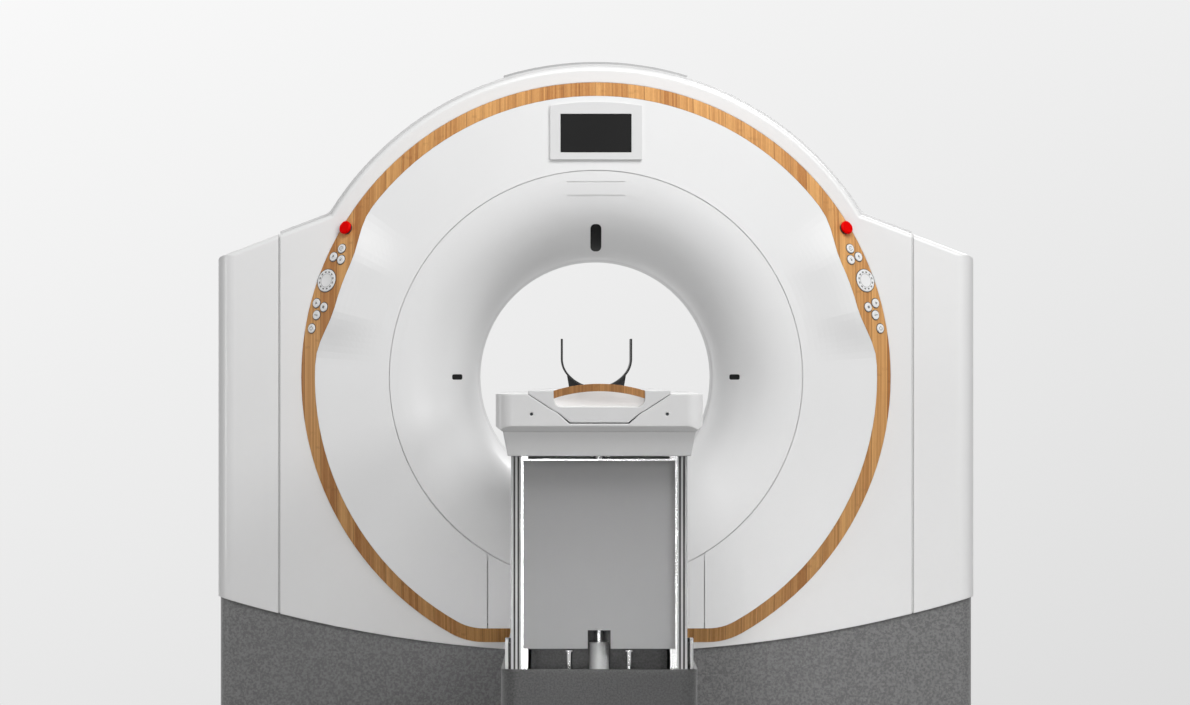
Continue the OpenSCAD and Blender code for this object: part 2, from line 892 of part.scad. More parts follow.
module lift_frame() {
  y1 = rail_rows[1] - 12;
  color("white") {
    both_sides() span([skirt_x - 12, near_y + 74, frame_z], [rail_in - 0.4, near_y + 104, deck_z]);
    both_sides() span([skirt_x - 3, near_y + 104, frame_z + 49], [skirt_x, y1, deck_z]);
    span([-skirt_x, y1 - 3, frame_z + 49], [skirt_x, y1, deck_z]);
    span([-skirt_x, near_y + 68, axis_h - 208], [skirt_x, near_y + 104, axis_h - 204]);
  }
}

module skirt_panel() {
  color("gray") difference() {
    span([-skirt_x, near_y + 68, axis_h - 676], [skirt_x, near_y + 74, axis_h - 208]);
    span([-28.5, near_y + 60, axis_h - 700], [28.5, near_y + 80, axis_h - 630]);
  }
}

module lift_column() {
  color("gainsboro") translate([0, near_y + 120, 12]) difference() {
    cylinder(h = base_h + 51, r = 24.5);
    translate([0, 0, -1]) cylinder(h = base_h + 90, r = 13.55);
  }
}

module lift_ram() {
  color("silver") translate([0, near_y + 120, frame_z]) cylinder(h = deck_z - frame_z, r = 13.5);
}

module stop_posts() {
  color("silver") both_sides() translate([75, near_y + 120, 12]) {
    cylinder(h = base_h + 31, r = 6);
    translate([0, 0, base_h + 27]) cylinder(h = 4, r = 11);
  }
}

module table_base() {
  color("dimgray") difference() {
    span([-170, near_y + 155, 12], [170, rail_rows[1] - 40, base_h + 100]);
    span([-166, near_y + 159, 0], [166, rail_rows[1] - 44, base_h + 96]);
  }
  color("dimgray") difference() {
    union() {
      linear_extrude(height = base_h) plan(base_x, base_near, base_far, 40);
      span([-base_x, base_far - 60, 0], [base_x, base_far, base_h]);
    }
    span([8 - base_x, base_near + 40, -1], [base_x - 8, base_far - 8, base_h - 8]);
    translate([0, 0, -1]) linear_extrude(height = base_h - 7)
      plan(base_x - 8, base_near + 8, base_far - 8, 32);
    span([9 - base_x, near_y + 38, base_h - 20], [base_x - 9, rail_rows[1] + 75, base_h + 1]);
  }
}

module table_floor_plate() {
  color("slategray") difference() {
    linear_extrude(height = 12) plan(base_x - 8.5, base_near + 8.5, base_far - 8.5, 31.5);
    both_sides() for (y = [near_y + 190, near_y + 990])
      translate([120, y, -1]) cylinder(h = 20, r = anchor_r);
  }
}

// controls of each side

module left_key_1() { color("white") mirror([1, 0, 0]) key(0); }
module left_key_2() { color("white") mirror([1, 0, 0]) key(1); }
module left_key_3() { color("white") mirror([1, 0, 0]) key(2); }
module left_key_4() { color("white") mirror([1, 0, 0]) key(3); }
module left_key_5() { color("white") mirror([1, 0, 0]) key(4); }
module left_key_6() { color("white") mirror([1, 0, 0]) key(5); }
module left_key_7() { color("white") mirror([1, 0, 0]) key(6); }
module left_pad() { color("white") mirror([1, 0, 0]) pad(); }
module left_stop() { color("red") mirror([1, 0, 0]) stop_button(); }
module right_key_1() { color("white") key(0); }
module right_key_2() { color("white") key(1); }
module right_key_3() { color("white") key(2); }
module right_key_4() { color("white") key(3); }
module right_key_5() { color("white") key(4); }
module right_key_6() { color("white") key(5); }
module right_key_7() { color("white") key(6); }
module right_pad() { color("white") pad(); }
module right_stop() { color("red") stop_button(); }

base_frame();
main_bearing();
drive_motor();
drive_belt();
brush_block();
motor_pulley();
rotor_drum();
slip_ring();
xray_tube();
collimator();
detector_arc();
hv_generators();
plinth();
front_cover();
front_face();
service_panel();
wood_ring();
front_funnel();
laser_windows();
scan_window();
rear_funnel();
rear_cover();
left_side_cover();
right_side_cover();
roof_cover();
top_vent();
display_bezel();
display_screen();
left_key_1();
left_key_2();
left_key_3();
left_key_4();
left_key_5();
left_key_6();
left_key_7();
left_pad();
left_stop();
right_key_1();
right_key_2();
right_key_3();
right_key_4();
right_key_5();
right_key_6();
right_key_7();
right_pad();
right_stop();
table_base();
table_floor_plate();
rail_sleeves();
lift_column();
stop_posts();
table_head();
lift_rails();
lift_frame();
skirt_panel();
lift_ram();
cradle();
wood_grip();
head_holder();
cradle_roller();
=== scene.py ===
import json
import math

import bmesh
import bpy
from mathutils import Matrix, Vector


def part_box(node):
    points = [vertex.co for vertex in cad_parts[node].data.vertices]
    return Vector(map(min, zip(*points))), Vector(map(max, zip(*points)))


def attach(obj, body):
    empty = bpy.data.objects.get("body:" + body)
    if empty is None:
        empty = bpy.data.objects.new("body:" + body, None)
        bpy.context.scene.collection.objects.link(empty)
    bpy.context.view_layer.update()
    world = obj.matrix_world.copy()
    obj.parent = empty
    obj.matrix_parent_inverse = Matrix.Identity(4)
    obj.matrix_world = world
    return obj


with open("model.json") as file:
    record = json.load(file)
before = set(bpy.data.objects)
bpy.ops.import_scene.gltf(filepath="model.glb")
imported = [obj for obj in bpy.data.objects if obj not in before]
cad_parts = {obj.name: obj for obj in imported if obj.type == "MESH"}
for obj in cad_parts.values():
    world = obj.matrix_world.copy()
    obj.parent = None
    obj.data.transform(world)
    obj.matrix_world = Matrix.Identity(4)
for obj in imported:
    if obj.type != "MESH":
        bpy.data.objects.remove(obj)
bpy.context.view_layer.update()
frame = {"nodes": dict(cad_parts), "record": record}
nodes = frame["nodes"]
scene = bpy.context.scene
scene.view_settings.view_transform = "Standard"

MM_PER_M = 1000
SIDES = ((-1, "left"), (1, "right"))

# Places that the part's source gives, in metres.
AXIS_Z = 1.040    # bore axis above the floor
FRONT_Y = -0.470  # plane of the front cover
RING_R = 0.856    # radius at which the wood's cone meets that plane
RING_TILT = math.radians(-40)

# Places on the wood: millimetres from the bore axis, degrees up from level.
KEY_PLACES = [
    (825.4, 26.8), (837.2, 24.6), (812.7, 24.7), (838.4, 14.8),
    (813.8, 14.4), (829.8, 12.5), (836.5, 9.7),
]
PAD_PLACE = (829.5, 19.7)
STOP_PLACE = (840.0, 30.8)


# Shader maths

class Value:
    """One output socket of a graph; arithmetic on it adds Math nodes."""

    def __init__(self, graph, socket):
        self.graph = graph
        self.socket = socket

    def math(self, operation, first, second=0.0):
        return self.graph.node("ShaderNodeMath", {"operation": operation}, {0: first, 1: second})

    def __add__(self, other):
        return self.math("ADD", self, other)

    def __radd__(self, other):
        return self.math("ADD", other, self)

    def __sub__(self, other):
        return self.math("SUBTRACT", self, other)

    def __rsub__(self, other):
        return self.math("SUBTRACT", other, self)

    def __mul__(self, other):
        return self.math("MULTIPLY", self, other)

    def __truediv__(self, other):
        return self.math("DIVIDE", self, other)

    def __abs__(self):
        return self.math("ABSOLUTE", self)

    def floor(self):
        return self.math("FLOOR", self)

    def fract(self):
        return self.math("FRACT", self)

    def larger(self, other):
        return self.math("MAXIMUM", self, other)

    def step(self, low, high):
        """0 at low, 1 at high, eased between them."""
        return self.graph.node("ShaderNodeMapRange", {"interpolation_type": "SMOOTHSTEP"},
                               {"Value": self, "From Min": low, "From Max": high})

    def ramp(self, low, high):
        """0 at low, 1 at high, straight between them."""
        return self.graph.node("ShaderNodeMapRange", None,
                               {"Value": self, "From Min": low, "From Max": high})

    def split(self):
        """The three parts of a vector."""
        return [self.graph.node("ShaderNodeSeparateXYZ", None, {0: self}, k) for k in range(3)]


class Graph:
    """A node tree, emptied and built node by node."""

    def __init__(self, tree):
        self.tree = tree
        self.tree.nodes.clear()

    def node(self, kind, settings=None, sockets=None, out=0):
        made = self.tree.nodes.new(kind)
        for key, value in (settings or {}).items():
            setattr(made, key, value)
        for key, value in (sockets or {}).items():
            if isinstance(value, Value):
                self.tree.links.new(value.socket, made.inputs[key])
            else:
                made.inputs[key].default_value = value
        return Value(self, made.outputs[out])

    def mix(self, share, first, second):
        return self.node("ShaderNodeMix", {"data_type": "RGBA"}, {0: share, 6: first, 7: second}, 2)

    def close(self, kind, shader):
        end = self.tree.nodes.new(kind)
        self.tree.links.new(shader.socket, end.inputs[0])


class Finish(Graph):
    """A procedural material in its object's own coordinates."""

    def __init__(self, name):
        self.material = bpy.data.materials.new(name)
        self.material.use_nodes = True
        super().__init__(self.material.node_tree)
        self.place = self.node("ShaderNodeTexCoord", out="Object")

    def axes(self):
        return self.place.split()

    def stretched(self, x, y, z):
        return self.node("ShaderNodeMapping", None, {"Vector": self.place, "Scale": (x, y, z)})

    def noise(self, scale, detail, rough=0.5, at=None):
        return self.node("ShaderNodeTexNoise", None, {
            "Vector": at or self.place, "Scale": scale, "Detail": detail, "Roughness": rough})

    def chance(self, number):
        """A random value for each whole number."""
        return self.node("ShaderNodeTexWhiteNoise", {"noise_dimensions": "1D"}, {"W": number})

    def open_air(self, samples, reach):
        """1 in the open, less in seams and grooves narrower than reach."""
        return self.node("ShaderNodeAmbientOcclusion", {"samples": samples},
                         {"Distance": reach}, "AO")

    def done(self, height, depth, edge=0.0, **sockets):
        """Close with the shader: height is a bump in parts of depth, edge eases the corners."""
        plugs = {key.replace("_", " "): value for key, value in sockets.items()}
        bump = {"Height": height, "Distance": depth, "Strength": 1.0}
        if edge:
            bump["Normal"] = self.node("ShaderNodeBevel", {"samples": 4}, {"Radius": edge})
        plugs["Normal"] = self.node("ShaderNodeBump", None, bump)
        self.close("ShaderNodeOutputMaterial", self.node("ShaderNodeBsdfPrincipled", None, plugs))
        return self.material


def grey(level, warm=0.0):
    return (level * (1 + warm), level, level * (1 - warm), 1.0)


# Finishes; lengths in metres

def lacquer(name, level, rough=0.38, coat=0.25, edge=0.004):
    """Sprayed cover: faint orange peel, slow tint drift, slightly darker towards the bottom,
    painted shade in the seams.
    """
    f = Finish(name)
    drift = f.noise(scale=1.7, detail=3.0)
    mottle = f.noise(scale=38.0, detail=3.0)
    peel = f.noise(scale=420.0, detail=2.0)
    # Slightly darker towards the bottom of the part.
    dust = 1 - f.axes()[2].step(0.1, 0.8)
    # Painted shade: occlusion darkens the cover in seams and narrow gaps.
    seam_shade = f.open_air(samples=4, reach=0.006).step(0.25, 0.95)
    tone = f.mix(drift * 0.5 + mottle * 0.25,
                 grey(level * 0.965, 0.004), grey(level * 1.025, -0.002))
    tone = f.mix(dust * 0.05, tone, grey(level * 0.7, 0.02))
    tone = f.mix(seam_shade, grey(level * 0.62), tone)
    return f.done(height=peel * 0.5 + mottle * 0.3, depth=0.00012, edge=edge, Base_Color=tone,
                  Roughness=rough + (drift - 0.5) * 0.10 + (peel - 0.5) * 0.06,
                  Coat_Weight=coat, Coat_Roughness=0.12)


def moulding(name, level, rough=0.34, coat=0.3, edge=0.0015):
    """Moulded face plastic: very fine spark texture and faint wiping marks."""
    f = Finish(name)
    drift = f.noise(scale=2.3, detail=2.0)
    wipe = f.noise(scale=14.0, detail=4.0, rough=0.65, at=f.stretched(1.0, 1.0, 0.25))
    spark = f.noise(scale=900.0, detail=1.0)
    tone = f.mix(drift, grey(level * 0.975, 0.002), grey(level * 1.02, -0.003))
    return f.done(height=spark, depth=0.00005, edge=edge, Base_Color=tone,
                  Roughness=rough + (wipe - 0.5) * 0.16, Coat_Weight=coat, Coat_Roughness=0.15)


def bamboo(name, light, dark, joint, strip=0.0046, board=0.047):
    """Laminated bamboo with upright strips, glued boards, fibres and knuckle bands."""
    f = Finish(name)
    knuckle_gap, strip_seed, knuckle_seed = 0.31, 311.0, 57.0
    x, _, z = f.axes()
    wander = (f.noise(scale=3.0, detail=2.0, at=f.stretched(1.0, 1.0, 0.6)) - 0.5) * 0.004
    across = x + wander
    boards = across / board
    strips = across / strip
    board_tone = f.chance(boards.floor())
    strip_tone = f.chance(strips.floor() + strip_seed)
    fibre = f.noise(scale=1.0, detail=3.0, rough=0.6, at=f.stretched(1500.0, 700.0, 34.0))
    streak = f.noise(scale=1.0, detail=2.0, at=f.stretched(240.0, 120.0, 7.0))
    jitter = f.chance((boards * 3.0).floor() + knuckle_seed) * 0.25
    knuckle_at = (z / knuckle_gap + board_tone * 7.3 + jitter).fract()
    knuckle = 1 - abs(knuckle_at - 0.5).step(0.004, 0.020)
    knuckle = knuckle * f.noise(scale=90.0, detail=2.0).step(0.3, 0.6)
    board_edge = abs(boards.fract() - 0.5).step(0.478, 0.497)
    strip_edge = abs(strips.fract() - 0.5).step(0.38, 0.49)
    share = board_tone * 0.56 + strip_tone * 0.52 + streak * 0.36 + fibre * 0.34 - 0.36
    tone = f.mix(share, dark, light)
    tone = f.mix(strip_edge * 0.34, tone, joint)
    tone = f.mix(board_edge * 0.70, tone, joint)
    tone = f.mix(knuckle * 0.18, tone, joint)
    return f.done(height=fibre * 0.5 - board_edge * 0.8 - strip_edge * 0.25, depth=0.00025,
                  edge=0.0015, Base_Color=tone,
                  Roughness=0.42 + (streak - 0.5) * 0.15 + board_edge * 0.15,
                  Coat_Weight=0.10, Coat_Roughness=0.22, Specular_IOR_Level=0.3)


def speckle(name, base, fleck_dark, fleck_light, grain, rough, edge):
    """Structured two-tone paint on the skirts, scuffed near the floor."""
    f = Finish(name)
    coarse = f.noise(grain, detail=2.0, rough=0.6)
    fine = f.noise(grain * 2.7, detail=2.0, rough=0.6)
    cloud = f.noise(scale=5.0, detail=3.0)
    scuff = f.noise(scale=24.0, detail=5.0, rough=0.7) * (1 - f.axes()[2].step(0.0, 0.22))
    tone = f.mix(coarse.step(0.40, 0.62), fleck_dark, base)
    tone = f.mix(fine.step(0.55, 0.72) * 0.75, tone, fleck_light)
    tone = f.mix((cloud - 0.35) * 0.25, tone, fleck_dark)
    tone = f.mix(scuff.step(0.5, 0.8) * 0.3, tone, fleck_light)
    return f.done(height=coarse * 0.7 + fine * 0.3, depth=0.0006, edge=edge, Base_Color=tone,
                  Roughness=rough + (coarse - 0.5) * 0.25, Specular_IOR_Level=0.35,
                  Coat_Weight=0.5, Coat_Roughness=0.16)


def glass_black(name, level, rough):
    """Tinted window with faint smears and dust."""
    f = Finish(name)
    smear = f.noise(scale=9.0, detail=5.0, rough=0.7, at=f.stretched(1.0, 1.0, 0.4))
    dust = f.noise(scale=700.0, detail=1.0).step(0.70, 0.80)
    tone = f.mix(dust * 0.3 + smear * 0.1, grey(level, -0.01), grey(level * 2.2))
    return f.done(height=smear, depth=0.00002, Base_Color=tone,
                  Roughness=rough + smear * 0.10 + dust * 0.2, Specular_IOR_Level=0.12)


def drawn_grain(f, level, along, rough):
    """Line pattern, tone and roughness of metal drawn or turned along one axis."""
    scale = [900.0, 900.0, 900.0]
    scale[along] = 9.0
    line = f.noise(scale=1.0, detail=3.0, rough=0.6, at=f.stretched(*scale))
    cloud = f.noise(scale=7.0, detail=3.0)
    tone = f.mix(line * 0.6 + cloud * 0.4, grey(level * 0.86), grey(level * 1.12))
    return line, tone, rough + (line - 0.5) * 0.22 + (cloud - 0.5) * 0.12


def brushed(name, level, along, rough):
    """Bare metal with a drawn or turned grain."""
    f = Finish(name)
    line, tone, roughness = drawn_grain(f, level, along, rough)
    return f.done(height=line, depth=0.00006, Base_Color=tone, Metallic=1.0, Roughness=roughness)


def grooved(name, level, dark):
    """Anodised extrusion, drawn upwards, with painted shade darkening its grooves."""
    f = Finish(name)
    line, tone, roughness = drawn_grain(f, level, along=2, rough=0.36)
    # Painted shade: occlusion darkens the grooves towards the dark level.
    tone = f.mix(f.open_air(samples=6, reach=0.012).step(0.45, 0.92), grey(dark), tone)
    return f.done(height=line, depth=0.00006, edge=0.0006, Base_Color=tone, Metallic=0.55,
                  Roughness=roughness)


def coloured_metal(name, dark, light, rough=0.3):
    """Tinted metal, turned round the bore axis."""
    f = Finish(name)
    line = f.noise(scale=1.0, detail=3.0, rough=0.6, at=f.stretched(60.0, 900.0, 60.0))
    cloud = f.noise(scale=6.0, detail=3.0)
    tone = f.mix(line * 0.5 + cloud * 0.5, dark, light)
    return f.done(height=line, depth=0.00005, Base_Color=tone, Metallic=1.0,
                  Roughness=rough + (cloud - 0.5) * 0.2)


def paint(name, colour, shade, grain=520.0, rough=0.45):
    """Powder coat with a pebbled skin and slow tone drift."""
    f = Finish(name)
    pebble = f.noise(grain, detail=2.0, rough=0.55)
    drift = f.noise(scale=2.6, detail=3.0)
    tone = f.mix(drift * 0.6 + pebble * 0.4, shade, colour)
    return f.done(height=pebble, depth=0.00022, Base_Color=tone,
                  Roughness=rough + (pebble - 0.5) * 0.18)


def rubber(name, ribs_per_m=250.0):
    """Black belt with fine ribs across the bore axis."""
    f = Finish(name)
    rib = abs((f.axes()[1] * ribs_per_m).fract() - 0.5)
    wear = f.noise(scale=40.0, detail=4.0, rough=0.7)
    tone = f.mix(wear * 0.5 + rib * 0.3, grey(0.012), grey(0.045))
    return f.done(height=rib, depth=0.0008, Base_Color=tone, Roughness=0.65 + (wear - 0.5) * 0.3)


def weave(name, threads_per_m=260.0):
    """Dark laminate with a fine twill under clear resin."""
    f = Finish(name)
    x, y, z = f.axes()
    warp = abs(((y + z) * threads_per_m).fract() - 0.5)
    weft = abs(((y - x) * threads_per_m).fract() - 0.5)
    twill = (warp - weft).step(-0.25, 0.25)
    cloud = f.noise(scale=12.0, detail=3.0)
    tone = f.mix(twill * 0.7 + cloud * 0.3, grey(0.008), grey(0.030))
    return f.done(height=twill, depth=0.00008, Base_Color=tone,
                  Roughness=0.40 + (twill - 0.5) * 0.12,
                  Coat_Weight=0.15, Coat_Roughness=0.15, Specular_IOR_Level=0.3)


def gloss_colour(name, colour, shade, rough):
    """Coloured moulded cap with fine handling marks."""
    f = Finish(name)
    rub = f.noise(scale=160.0, detail=4.0, rough=0.7)
    drift = f.noise(scale=30.0, detail=2.0)
    tone = f.mix(drift * 0.6 + rub * 0.3, shade, colour)
    return f.done(height=rub, depth=0.00006, Base_Color=tone,
                  Roughness=rough + (rub - 0.5) * 0.15, Specular_IOR_Level=0.03)


TRIM_WOOD = {
    "light": (0.735, 0.395, 0.140, 1.0),
    "dark": (0.400, 0.158, 0.040, 1.0),
    "joint": (0.145, 0.048, 0.011, 1.0),
}
GRIP_WOOD = {
    "light": (0.60, 0.300, 0.110, 1.0),
    "dark": (0.34, 0.150, 0.047, 1.0),
    "joint": (0.12, 0.048, 0.016, 1.0),
}
STOP_RED, STOP_SHADE = (0.88, 0.002, 0.002, 1.0), (0.66, 0.001, 0.001, 1.0)
BRASS_DARK, BRASS_LIGHT = (0.52, 0.35, 0.12, 1.0), (0.78, 0.60, 0.28, 1.0)
FRAME_BLUE, FRAME_SHADE = (0.30, 0.33, 0.36, 1.0), (0.23, 0.26, 0.29, 1.0)
UNIT_BLUE, UNIT_SHADE = (0.43, 0.46, 0.49, 1.0), (0.33, 0.36, 0.39, 1.0)
DETECTOR_BLUE, DETECTOR_SHADE = (0.10, 0.115, 0.125, 1.0), (0.06, 0.07, 0.08, 1.0)

finishes = {
    "cover_white": lacquer("cover_lacquer", level=0.80),
    "cover_rear": lacquer("rear_lacquer", level=0.62),
    "face_white": moulding("face_moulding", level=0.80, rough=0.40, coat=0.12),
    "bamboo": bamboo("bamboo_trim", **TRIM_WOOD),
    "grip_wood": bamboo("grip_bamboo", **GRIP_WOOD, strip=0.004, board=0.030),
    "plinth_grey": speckle("plinth_speckle", grey(0.184), grey(0.116), grey(0.258),
                           grain=150.0, rough=0.42, edge=0.025),
    "base_grey": speckle("table_base_paint", grey(0.060), grey(0.035), grey(0.096),
                         grain=210.0, rough=0.46, edge=0.030),
    "black_gloss": glass_black("tinted_window", level=0.013, rough=0.30),
    "window_film": moulding("scan_film", level=0.66, rough=0.5, coat=0.0),
    "vent_grey": moulding("vent_moulding", level=0.47, rough=0.5, coat=0.0),
    "key_white": moulding("key_cap", level=0.80, rough=0.4, coat=0.1),
    "stop_red": gloss_colour("stop_cap", STOP_RED, STOP_SHADE, rough=0.35),
    "frame_paint": paint("frame_coat", FRAME_BLUE, FRAME_SHADE),
    "bearing_steel": brushed("bearing_ground", level=0.62, along=1, rough=0.25),
    "rotor_alu": brushed("rotor_machined", level=0.64, along=1, rough=0.34),
    "ring_brass": coloured_metal("slip_tracks", BRASS_DARK, BRASS_LIGHT),
    "unit_grey": paint("unit_hammer", UNIT_BLUE, UNIT_SHADE, grain=260.0),
    "detector_dark": paint("detector_coat", DETECTOR_BLUE, DETECTOR_SHADE),
    "belt_rubber": rubber("ribbed_belt"),
    "table_white": lacquer("table_lacquer", level=0.85, rough=0.36, coat=0.2, edge=0.005),
    "cradle_white": moulding("cradle_laminate", level=0.82, rough=0.32, coat=0.2, edge=0.004),
    "rail_alu": grooved("rail_anodised", level=0.36, dark=0.012),
    "skirt_grey": paint("skirt_paint", grey(0.41), grey(0.37), grain=800.0, rough=0.42),
    "post_steel": brushed("post_bright", level=0.74, along=2, rough=0.20),
    "sleeve_white": moulding("sleeve_moulding", level=0.84, rough=0.30, coat=0.3),
    "holder_dark": weave("holder_laminate"),
}
for part in frame["record"]["subparts"]:
    skin = nodes[part["node"]]
    skin.data.materials.clear()
    skin.data.materials.append(finishes[part["material_slot"]])
bezel_white = moulding("bezel_moulding", level=0.70, rough=0.42, coat=0.1)
nodes["display_bezel"].data.materials[0] = bezel_white


# Small pieces on the controls and the table's near end; shapes in millimetres

def on_wood(place, side):
    """Frame on the wood: x away from the bore, y up along the trim, z out of it."""
    radius, angle = place[0] / MM_PER_M, math.radians(place[1])
    cos_a, sin_a = math.cos(angle), math.sin(angle)
    cos_t, sin_t = math.cos(RING_TILT), math.sin(RING_TILT)
    u = Vector((cos_t * cos_a, -sin_t, cos_t * sin_a))
    t = Vector((-sin_a, 0, cos_a))
    n = Vector((-sin_t * cos_a, -cos_t, -sin_t * sin_a))
    o = Vector((radius * cos_a, FRONT_Y + (RING_R - radius) * math.tan(RING_TILT),
                AXIS_Z + radius * sin_a))
    cols = [Vector((side * v.x, v.y, v.z)) for v in (u, t, n, o)]
    cols[0] *= side
    return Matrix((*[[c[k] for c in cols] for k in range(3)], (0, 0, 0, 1)))


def polar(radius, degrees, x=0.0, y=0.0):
    angle = math.radians(degrees)
    return x + radius * math.cos(angle), y + radius * math.sin(angle)


def arc(radius, start, end, count):
    return [polar(radius, start + (end - start) * k / count) for k in range(count + 1)]


def band(inner, outer, start, end, count):
    """Outline of a bent bar."""
    return arc(outer, start, end, count) + arc(inner, end, start, count)


def triangle(x, y, size, turn):
    return [polar(size, turn + a, x, y) for a in (0, 120, 240)]


def bar(x, y, w, h):
    left, right, low, high = x - w / 2, x + w / 2, y - h / 2, y + h / 2
    return [(left, low), (right, low), (right, high), (left, high)]


def row(bm, points):
    return [bm.verts.new((x / MM_PER_M, y / MM_PER_M, z / MM_PER_M)) for x, y, z in points]


def wall(bm, lower, upper):
    """Faces between two closed rows of points."""
    for k in range(len(lower)):
        j = (k + 1) % len(lower)
        bm.faces.new((lower[k], lower[j], upper[j], upper[k]))


def add_piece(name, bm, place, body, finish):
    mesh = bpy.data.meshes.new(name)
    bmesh.ops.recalc_face_normals(bm, faces=bm.faces)
    bmesh.ops.transform(bm, matrix=place, verts=bm.verts)
    bm.to_mesh(mesh)
    bm.free()
    made = bpy.data.objects.new(name, mesh)
    scene.collection.objects.link(made)
    mesh.materials.append(finish)
    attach(made, body)


def plates(name, outlines, rise, place, body, finish):
    """Flat shapes, raised between two heights over a frame."""
    bm = bmesh.new()
    for outline in outlines:
        lower, upper = [row(bm, [(x, y, height) for x, y in outline]) for height in rise]
        bm.faces.new(upper)
        bm.faces.new(lower[::-1])
        wall(bm, lower, upper)
    add_piece(name, bm, place, body, finish)


def hoop(name, radii, rise, place, body, finish, rounding=0.3, count=48):
    """Turned ring with rounded upper edges, between two radii and two heights."""
    (inner, outer), (low, high) = radii, rise
    profile = [(inner, low), (inner, high - rounding), (inner + rounding, high),
               (outer - rounding, high), (outer, high - rounding), (outer, low)]
    bm = bmesh.new()
    rows = []
    for k in range(count):
        a = 2 * math.pi * k / count
        rows.append(row(bm, [(r * math.cos(a), r * math.sin(a), h) for r, h in profile]))
    for k in range(count):
        wall(bm, rows[k], rows[(k + 1) % count])
    add_piece(name, bm, place, body, finish)


# One sign for each key, in the order of KEY_PLACES.
SIGNS = [
    [band(5.2, 6.8, 0, 330, 24), bar(0, 0, 1.6, 5.0)],
    [triangle(0, 1.4, 4.6, 90), bar(0, -4.2, 6.0, 1.4)],
    [triangle(0, -1.4, 4.6, 270), bar(0, 4.2, 6.0, 1.4)],
    [triangle(0.8, 0, 5.4, 0)],
    [bar(0, 0, 7.6, 7.6)],
    [triangle(-3.4, 0, 3.6, 180), triangle(3.4, 0, 3.6, 0)],
    [band(4.4, 6.0, 120, 420, 24), bar(0, 5.2, 1.6, 4.4)],
]
PAD_MARKS = [band(23.0, 27.5, a - 7, a + 7, 6) for a in range(0, 360, 30)]

# Inner and outer radius, and lower and upper height over the wood.
KEY_RIM, PAD_RIM, RIM_RISE = (13.4, 15.4), (33.4, 35.2), (-1.0, 0.8)
COLLAR, COLLAR_RISE = (13.5, 17.2), (-1.0, 1.6)
DIAL, DIAL_RISE = (19.4, 20.4), (2.2, 2.6)
SIGN_RISE, MARK_RISE = (3.1, 3.32), (2.3, 2.54)

print_grey = moulding("sign_print", level=0.19, rough=0.5, coat=0.0)
# Painted shade: the dark rings round the keys and the pad stand in for the shade in the gaps round
# them; the stop collar uses the same dark.
dark_ring_gap_shade = moulding("key_rim_gap_shade", level=0.045, rough=0.45, coat=0.0)

for side, word in SIDES:
    for n, place in enumerate(KEY_PLACES, 1):
        here = on_wood(place, side)
        hoop(f"{word}_rim_{n}", KEY_RIM, RIM_RISE, here, "stand", dark_ring_gap_shade)
        plates(f"{word}_sign_{n}", SIGNS[n - 1], SIGN_RISE, here, f"{word}_key_{n}", print_grey)
    here = on_wood(PAD_PLACE, side)
    hoop(f"{word}_pad_rim", PAD_RIM, RIM_RISE, here, "stand", dark_ring_gap_shade)
    plates(f"{word}_pad_marks", PAD_MARKS, MARK_RISE, here, f"{word}_pad", print_grey)
    hoop(f"{word}_pad_dial", DIAL, DIAL_RISE, here, f"{word}_pad", print_grey, rounding=0.1)
    here = on_wood(STOP_PLACE, side)
    hoop(f"{word}_stop_collar", COLLAR, COLLAR_RISE, here, "stand", dark_ring_gap_shade, rounding=0.5)


SCREW_R = 3.4
SCREW_PROFILE = ((0.0, 1.0), (1.3, 1.0), (2.0, 0.86), (2.3, 0.62))  # height, share of radius
SOCKET_SHARE = 0.46                                                 # half its width across flats
SOCKET_HEIGHTS = (2.3, 0.9)
SCREW_X, SCREW_SEAT, SCREW_DROP = 0.168, 0.004, 0.092  # metres: aside, into the head, below axis


def socket_screw(name, place, body):
    """Button-head screw with a hexagon socket, seated at the bottom of its counterbore."""
    turns = range(0, 360, 15)
    rings = [[(*polar(share * SCREW_R, a), height) for a in turns]
             for height, share in SCREW_PROFILE]
    for height in SOCKET_HEIGHTS:
        rings.append([
            (*polar(SOCKET_SHARE * SCREW_R / math.cos(math.radians((a + 30) % 60 - 30)), a), height)
            for a in turns])
    bm = bmesh.new()
    rows = [row(bm, ring) for ring in rings]
    for lower, upper in zip(rows, rows[1:]):
        wall(bm, lower, upper)
    bm.faces.new(rows[-1])
    bm.faces.new(rows[0][::-1])
    add_piece(name, bm, place, body, finishes["detector_dark"])


head_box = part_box("table_head")
for side, word in SIDES:
    seat = (side * SCREW_X, head_box[0][1] + SCREW_SEAT, AXIS_Z - SCREW_DROP)
    spot = Matrix.Translation(seat) @ Matrix.Rotation(math.pi / 2, 4, "X")
    socket_screw(f"{word}_head_screw", spot, "lift")


# Backdrop, floor, light and camera

AMBIENT = 0.20
FLOOR_R, FLOOR_AT = 3.0, (0, -1.4, -0.0015)
FADE_X2, FADE_Y2 = 7.0, 5.0  # squared half-lengths at which the floor has faded out


def backdrop_world():
    """A grey wash, lighter upwards and leftwards, as seen; an even white as light."""
    world = bpy.data.worlds.new("studio")
    scene.world = world
    world.use_nodes = True
    g = Graph(world.node_tree)
    across, _, up = g.node("ShaderNodeTexCoord", out="Generated").split()
    rise = up.ramp(-0.066, 0.076)
    turn = across.ramp(-0.12, 0.12)
    lower = g.mix(turn, grey(0.805), grey(0.724))
    upper = g.mix(turn, grey(0.947), grey(0.863))
    seen = g.node("ShaderNodeBackground", None, {0: g.mix(rise, lower, upper)})
    ambient = g.node("ShaderNodeBackground", None, {0: grey(1.0), 1: AMBIENT})
    straight, glossy, through = [
        g.node("ShaderNodeLightPath", out=ray)
        for ray in ("Is Camera Ray", "Is Glossy Ray", "Is Transmission Ray")]
    shown = straight.larger(glossy).larger(through)
    g.close("ShaderNodeOutputWorld",
            g.node("ShaderNodeMixShader", None, {0: shown, 1: ambient, 2: seen}))


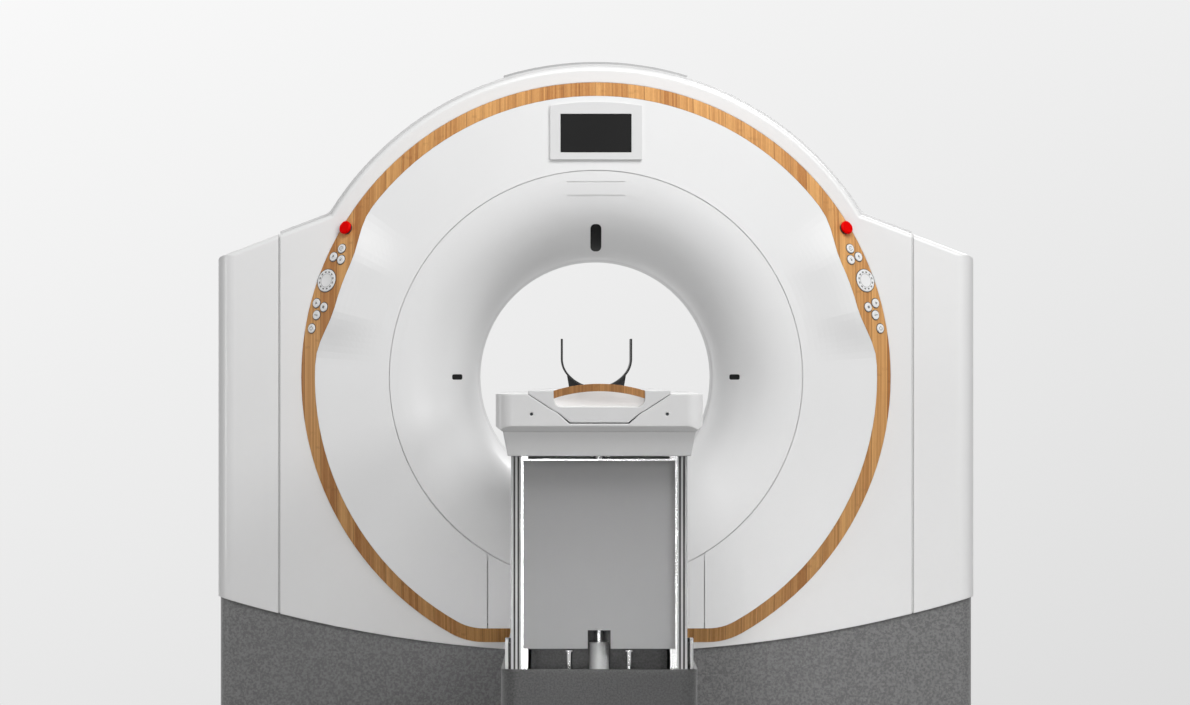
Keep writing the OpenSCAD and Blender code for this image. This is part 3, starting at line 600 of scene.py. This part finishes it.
def pale_floor():
    """A pale disc that fades out into the backdrop."""
    mesh = bpy.data.meshes.new("floor")
    bm = bmesh.new()
    bmesh.ops.create_circle(bm, cap_ends=True, segments=96, radius=FLOOR_R)
    bm.to_mesh(mesh)
    bm.free()
    floor = bpy.data.objects.new("floor", mesh)
    floor.location = FLOOR_AT
    scene.collection.objects.link(floor)
    f = Finish("pale_floor")
    x, y, _ = f.axes()
    fade = 1 - (x * x / FADE_X2 + y * y / FADE_Y2).step(0.05, 1.0)
    cloud = f.noise(scale=2.0, detail=2.0)
    surface = f.node("ShaderNodeBsdfDiffuse", None, {"Color": f.mix(cloud, grey(0.76), grey(0.79))})
    clear = f.node("ShaderNodeBsdfTransparent")
    f.close("ShaderNodeOutputMaterial",
            f.node("ShaderNodeMixShader", None, {0: fade, 1: clear, 2: surface}))
    mesh.materials.append(f.material)


def area_lamp(name, at, aim, size, power, spread=180.0):
    """A rectangular lamp: metres, watts and degrees."""
    data = bpy.data.lights.new(name, "AREA")
    data.shape = "RECTANGLE"
    data.size, data.size_y = size
    data.energy = power
    data.spread = math.radians(spread)
    lamp = bpy.data.objects.new(name, data)
    lamp.location = at
    lamp.rotation_euler = (Vector(aim) - Vector(at)).to_track_quat("-Z", "Y").to_euler()
    scene.collection.objects.link(lamp)


backdrop_world()
pale_floor()
area_lamp("key_lamp", at=(0.9, -3.8, 4.8), aim=(0.1, -0.5, 1.0), size=(4.0, 2.2), power=202)
area_lamp("fill_lamp", at=(4.8, -7.3, 3.2), aim=(0.3, -0.5, 1.0), size=(2.5, 2.0), power=128)
area_lamp("side_lamp", at=(-5.2, -2.4, 1.1), aim=(0, -0.9, 0.6), size=(0.5, 1.6), power=30)
area_lamp("foot_lamp", at=(-0.5, -7.5, 0.7), aim=(0, -2.4, 0.22), size=(0.6, 0.4), power=0.40,
          spread=16.0)
area_lamp("back_lamp", at=(2.5, 5.0, 4.5), aim=(0, 0.3, 1.2), size=(3.0, 2.0), power=130)

CAMERA_X, CAMERA_AWAY = -0.056, 14.5  # metres aside and in front of the cover

eye = bpy.data.cameras.new("camera")
eye.lens = 151.0
eye.sensor_width = 36.0
eye.clip_end = 200.0
eye.shift_x = 0.0154
eye.shift_y = 0.0206
camera = bpy.data.objects.new("camera", eye)
camera.location = (CAMERA_X, FRONT_Y - CAMERA_AWAY, AXIS_Z)
camera.rotation_euler = (math.radians(90), 0, 0)
scene.collection.objects.link(camera)
scene.camera = camera

bpy.context.view_layer.update()
